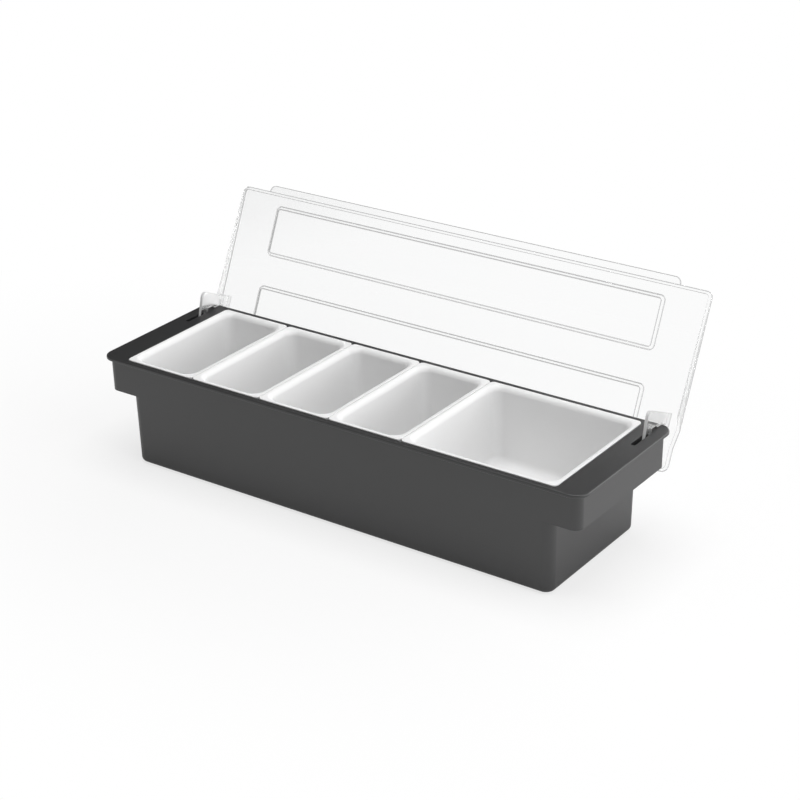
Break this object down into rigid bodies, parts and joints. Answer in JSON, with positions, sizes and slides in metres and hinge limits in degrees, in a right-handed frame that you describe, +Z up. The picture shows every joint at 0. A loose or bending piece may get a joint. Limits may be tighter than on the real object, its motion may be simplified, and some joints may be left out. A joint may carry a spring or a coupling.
{
  "type": "condiment caddy",
  "caption": "Long condiment caddy: a tub with end wings, lift-out inserts hung in a row, and one clear lid that flips back on pivots in the wings.",
  "frame": {"origin": "centre of the standing ring under the housing, on the table", "axes": "+X along the housing to the large insert, -Y to the front where the food is taken out, +Z up"},
  "size_m": [0.49, 0.211, 0.202],
  "materials": {
    "housing_plastic": "fine satin texture, black",
    "clear_plastic": "clear, polished",
    "insert_plastic": "smooth white, soft gloss"
  },
  "bodies": {
    "housing": {"base_housing": "housing_plastic"},
    "lid": {"flip_lid": "clear_plastic"},
    "small_insert_1": {"insert_small_1": "insert_plastic"},
    "small_insert_2": {"insert_small_2": "insert_plastic"},
    "small_insert_3": {"insert_small_3": "insert_plastic"},
    "small_insert_4": {"insert_small_4": "insert_plastic"},
    "large_insert": {"insert_large": "insert_plastic"}
  },
  "joints": [
    {"name": "lid_hinge", "type": "hinge", "parent": "housing", "child": "lid", "pos_m": [0, 0.05955, 0.0854], "axis": [-1, 0, 0], "range_deg": [-117.2, 0]},
    {"name": "lift_small_1", "type": "slide", "parent": "housing", "child": "small_insert_1", "axis": [0, 0, 1], "range_m": [0, 0.08]},
    {"name": "lift_small_2", "type": "slide", "parent": "housing", "child": "small_insert_2", "axis": [0, 0, 1], "range_m": [0, 0.08]},
    {"name": "lift_small_3", "type": "slide", "parent": "housing", "child": "small_insert_3", "axis": [0, 0, 1], "range_m": [0, 0.08]},
    {"name": "lift_small_4", "type": "slide", "parent": "housing", "child": "small_insert_4", "axis": [0, 0, 1], "range_m": [0, 0.08]},
    {"name": "lift_large", "type": "slide", "parent": "housing", "child": "large_insert", "axis": [0, 0, 1], "range_m": [0, 0.08]}
  ]
}
